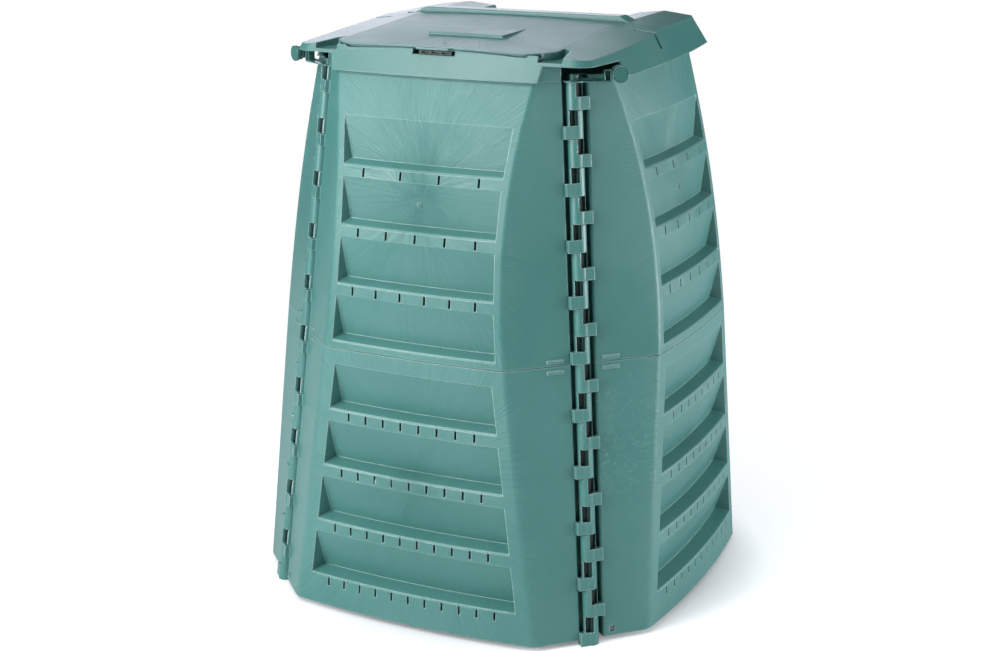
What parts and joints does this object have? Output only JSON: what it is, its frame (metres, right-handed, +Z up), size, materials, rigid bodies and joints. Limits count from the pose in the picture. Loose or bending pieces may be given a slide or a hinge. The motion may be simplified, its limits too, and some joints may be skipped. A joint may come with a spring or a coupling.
{
  "type": "compost bin with lid",
  "caption": "Square garden compost bin of moulded plastic that narrows upwards, with slotted wall panels, hinge-like corner rods, a flared lid with an opening flap and two corner locks",
  "frame": {"origin": "on the ground, under the middle of the bin", "axes": "+Z up, the front wall with the flap faces -Y, +X to the right seen from the front"},
  "size_m": [0.7994, 0.7994, 1.021],
  "materials": {
    "wall_plastic": "satin moulded recycled plastic with faint flow streaks",
    "lid_plastic": "satin moulded plastic",
    "flap_plastic": "satin moulded plastic",
    "rod_plastic": "darker moulded plastic",
    "lock_plastic": "satin moulded plastic",
    "catch_plastic": "dark moulded plastic"
  },
  "bodies": {
    "bin": {"lower_panel_front": "wall_plastic", "lower_panel_right": "wall_plastic", "lower_panel_back": "wall_plastic", "lower_panel_left": "wall_plastic", "upper_panel_front": "wall_plastic", "upper_panel_right": "wall_plastic", "upper_panel_back": "wall_plastic", "upper_panel_left": "wall_plastic", "corner_rod_front_left": "rod_plastic", "corner_rod_front_right": "rod_plastic", "corner_rod_back_left": "rod_plastic", "corner_rod_back_right": "rod_plastic"},
    "lid": {"lid_frame": "lid_plastic", "hinge_bar_cover": "lid_plastic", "flap_catch": "catch_plastic"},
    "flap": {"front_flap": "flap_plastic", "flap_hinge_pins": "rod_plastic"},
    "lock_left": {"corner_lock_lever_left": "lock_plastic", "corner_lock_knob_left": "lock_plastic"},
    "lock_right": {"corner_lock_lever_right": "lock_plastic", "corner_lock_knob_right": "lock_plastic"}
  },
  "joints": [
    {"name": "lid_lift", "type": "slide", "parent": "bin", "child": "lid", "axis": [0, 0, 1], "range_m": [0, 0.15]},
    {"name": "flap_hinge", "type": "hinge", "parent": "lid", "child": "flap", "pos_m": [0, 0.048, 1.00811], "axis": [-1, 0, 0], "range_deg": [0, 92]},
    {"name": "lock_turn_left", "type": "hinge", "parent": "bin", "child": "lock_left", "pos_m": [-0.22896, -0.22896, 0.95], "axis": [0, 0, 1], "range_deg": [0, 85]},
    {"name": "lock_turn_right", "type": "hinge", "parent": "bin", "child": "lock_right", "pos_m": [0.22896, -0.22896, 0.95], "axis": [0, 0, -1], "range_deg": [0, 85]}
  ]
}
